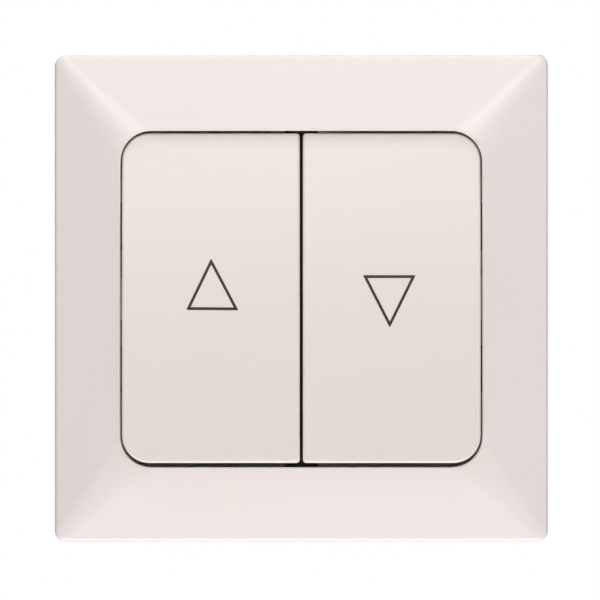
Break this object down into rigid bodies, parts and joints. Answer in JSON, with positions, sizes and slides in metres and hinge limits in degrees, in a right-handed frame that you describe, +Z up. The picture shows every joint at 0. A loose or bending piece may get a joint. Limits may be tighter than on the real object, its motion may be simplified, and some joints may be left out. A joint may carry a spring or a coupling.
{
  "type": "roller shutter switch",
  "caption": "Flush-mounted roller shutter switch: bevelled cover frame, an up and a down rocker on hinged levers, support plate, contacts and terminals in a moulded housing.",
  "frame": {"origin": "midway between the box screws, on the wall's surface", "axes": "+X to the right, +Y into the wall, +Z up; the rockers face -Y"},
  "size_m": [0.083, 0.0342, 0.082],
  "materials": {
    "frame_plastic": "pearl white, semi-gloss",
    "rocker_plastic": "creamy pearl white, semi-gloss",
    "lever_plastic": "moulded, matt",
    "plunger_metal": "turned",
    "spring_steel": "drawn wire",
    "contact_copper": "stamped copper alloy",
    "contact_silver": "silver",
    "terminal_brass": "milled",
    "screw_steel": "zinc plated",
    "cover_plastic": "moulded, matt",
    "plate_steel": "zinc plated",
    "housing_plastic": "moulded thermoset, matt"
  },
  "bodies": {
    "base": {"cover_frame": "frame_plastic", "bearing_cover": "cover_plastic", "support_plate": "plate_steel", "base_housing": "housing_plastic", "assembly_screws": "screw_steel", "common_terminal": "terminal_brass", "terminal_up": "terminal_brass", "terminal_down": "terminal_brass", "terminal_screws": "screw_steel", "fixed_contact_up": "contact_silver", "fixed_contact_down": "contact_silver"},
    "up_rocker": {"rocker_up": "rocker_plastic", "lever_up": "lever_plastic", "plunger_spring_up": "spring_steel"},
    "down_rocker": {"rocker_down": "rocker_plastic", "lever_down": "lever_plastic", "plunger_spring_down": "spring_steel"},
    "up_plunger": {"plunger_up": "plunger_metal"},
    "down_plunger": {"plunger_down": "plunger_metal"},
    "up_contact": {"contact_arm_up": "contact_copper", "moving_contact_up": "contact_silver"},
    "down_contact": {"contact_arm_down": "contact_copper", "moving_contact_down": "contact_silver"}
  },
  "joints": [
    {"name": "up_rocker_tilt", "type": "hinge", "parent": "base", "child": "up_rocker", "pos_m": [-0.0152, -0.006, 0], "axis": [1, 0, 0], "range_deg": [0, 7.2]},
    {"name": "down_rocker_tilt", "type": "hinge", "parent": "base", "child": "down_rocker", "pos_m": [0.0152, -0.006, 0], "axis": [1, 0, 0], "range_deg": [0, 7.2]},
    {"name": "up_plunger_slide", "type": "slide", "parent": "up_rocker", "child": "up_plunger", "axis": [0, -0.998, 0.0628], "range_m": [0, 0.0006], "stiffness_N_per_m": 1200, "springref_m": -0.001, "deforming": ["plunger_spring_up"]},
    {"name": "down_plunger_slide", "type": "slide", "parent": "down_rocker", "child": "down_plunger", "axis": [0, -0.998, 0.0628], "range_m": [0, 0.0006], "stiffness_N_per_m": 1200, "springref_m": -0.001, "deforming": ["plunger_spring_down"]},
    {"name": "up_contact_tilt", "type": "hinge", "parent": "base", "child": "up_contact", "pos_m": [-0.0152, 0.0073, 0], "axis": [1, 0, 0], "range_deg": [-16, 0]},
    {"name": "down_contact_tilt", "type": "hinge", "parent": "base", "child": "down_contact", "pos_m": [0.0152, 0.0073, 0], "axis": [1, 0, 0], "range_deg": [-16, 0]}
  ],
  "couplings": [
    {"joint": "up_contact_tilt", "follows": "up_rocker_tilt", "ratio": -2.222},
    {"joint": "down_contact_tilt", "follows": "down_rocker_tilt", "ratio": -2.222}
  ]
}
